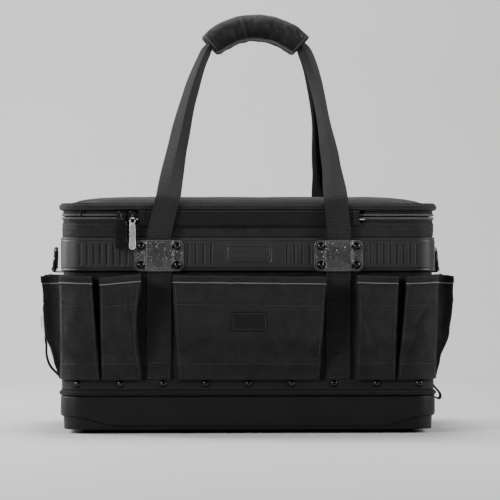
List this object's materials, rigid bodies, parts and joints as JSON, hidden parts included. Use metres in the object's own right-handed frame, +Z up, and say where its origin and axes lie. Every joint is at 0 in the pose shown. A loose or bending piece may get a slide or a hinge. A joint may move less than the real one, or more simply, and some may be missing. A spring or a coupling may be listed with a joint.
{
  "type": "garden tool bag",
  "caption": "Zip-lidded black fabric tool bag on a moulded base tub, with outer pockets, a rubber band, D-rings and two carrying handles with leather grips.",
  "frame": {"origin": "middle of the footprint, on the ground under the base", "axes": "+Z up, +X towards the bag's right end as seen from its front, +Y towards its back"},
  "size_m": [0.5951, 0.348, 0.609],
  "materials": {
    "body_fabric": "coarse black nylon, matt",
    "webbing": "ribbed black nylon webbing",
    "binding": "smooth black binding",
    "lining": "plain dark lining",
    "label": "woven label, dark",
    "foam": "closed-cell foam",
    "leather": "pebbled black, semi-gloss",
    "band_rubber": "satin charcoal",
    "base_plastic": "fine texture, matt",
    "inner_board": "plain sheet",
    "zip": "black coil and tape",
    "pull_rubber": "glossy black moulded tab",
    "rivet": "glossy black",
    "black_metal": "glossy black",
    "steel": "bright"
  },
  "bodies": {
    "bag": {"base_sole": "base_plastic", "base_tub": "base_plastic", "base_board": "inner_board", "base_welt": "binding", "body_wall": "body_fabric", "wall_stiffener": "inner_board", "inner_lining": "lining", "rivet_strip": "webbing", "strip_rivets": "rivet", "impact_band": "band_rubber", "collar": "body_fabric", "zip_lower": "zip", "zip_parking_end": "zip", "hinge_panel_lower": "body_fabric", "plate_rivets": "rivet", "label_patch": "label", "inner_pockets": "lining", "left_end_pockets": "body_fabric", "right_end_pockets": "body_fabric", "ring_tabs": "webbing", "tape_clip": "steel", "tool_loop": "webbing", "strap_tail": "webbing", "front_left_strap": "webbing", "front_left_plate": "leather", "front_right_strap": "webbing", "front_right_plate": "leather", "back_left_strap": "webbing", "back_left_plate": "leather", "back_right_strap": "webbing", "back_right_plate": "leather", "front_corner_pocket_left": "body_fabric", "front_narrow_pocket_left": "body_fabric", "front_corner_pocket_right": "body_fabric", "front_narrow_pocket_right": "body_fabric", "front_centre_pocket": "body_fabric", "back_corner_pocket_left": "body_fabric", "back_narrow_pocket_left": "body_fabric", "back_corner_pocket_right": "body_fabric", "back_narrow_pocket_right": "body_fabric", "back_centre_pocket": "body_fabric"},
    "lid": {"lid_border": "binding", "lid_lining": "lining", "lid_board": "inner_board", "lid_top": "body_fabric", "zip_upper": "zip", "hinge_panel_upper": "body_fabric"},
    "front_handle": {"front_handle_strap": "webbing", "front_grip_foam": "foam", "front_grip_leather": "leather"},
    "back_handle": {"back_handle_strap": "webbing", "back_grip_foam": "foam", "back_grip_leather": "leather"},
    "left_d_ring": {"left_d_ring": "black_metal"},
    "right_d_ring": {"right_d_ring": "black_metal"},
    "slider_steel": {"slider_steel": "black_metal"},
    "slider_black": {"slider_black": "black_metal"},
    "pull_steel": {"pull_steel": "steel"},
    "pull_tab": {"pull_tab": "pull_rubber"}
  },
  "joints": [
    {"name": "lid_hinge", "type": "hinge", "parent": "bag", "child": "lid", "pos_m": [0, -0.1475, 0.3085], "axis": [1, 0, 0], "range_deg": [0, 100]},
    {"name": "front_handle_fold", "type": "hinge", "parent": "bag", "child": "front_handle", "pos_m": [0, -0.1515, 0.2765], "axis": [1, 0, 0], "range_deg": [0, 150]},
    {"name": "back_handle_fold", "type": "hinge", "parent": "bag", "child": "back_handle", "pos_m": [0, 0.1515, 0.2765], "axis": [-1, 0, 0], "range_deg": [0, 150]},
    {"name": "left_ring_swing", "type": "hinge", "parent": "bag", "child": "left_d_ring", "pos_m": [-0.282, 0, 0.233], "axis": [0, -1, 0], "range_deg": [0, 90]},
    {"name": "right_ring_swing", "type": "hinge", "parent": "bag", "child": "right_d_ring", "pos_m": [0.282, 0, 0.233], "axis": [0, 1, 0], "range_deg": [0, 90]},
    {"name": "slider_steel_slide", "type": "slide", "parent": "bag", "child": "slider_steel", "axis": [-1, 0, 0], "range_m": [0, 0.05]},
    {"name": "slider_black_slide", "type": "slide", "parent": "bag", "child": "slider_black", "axis": [-1, 0, 0], "range_m": [0, 0.05]},
    {"name": "pull_steel_swing", "type": "hinge", "parent": "slider_steel", "child": "pull_steel", "pos_m": [-0.165, -0.1518, 0.30442], "axis": [-1, 0, 0], "range_deg": [0, 70]},
    {"name": "pull_tab_swing", "type": "hinge", "parent": "slider_black", "child": "pull_tab", "pos_m": [-0.181, -0.1518, 0.30442], "axis": [-1, 0, 0], "range_deg": [0, 70]}
  ],
  "couplings": [
    {"joint": "front_handle_fold", "follows": "lid_hinge", "ratio": 1.5},
    {"joint": "back_handle_fold", "follows": "lid_hinge", "ratio": 1.5},
    {"joint": "slider_black_slide", "follows": "slider_steel_slide", "ratio": 1}
  ]
}
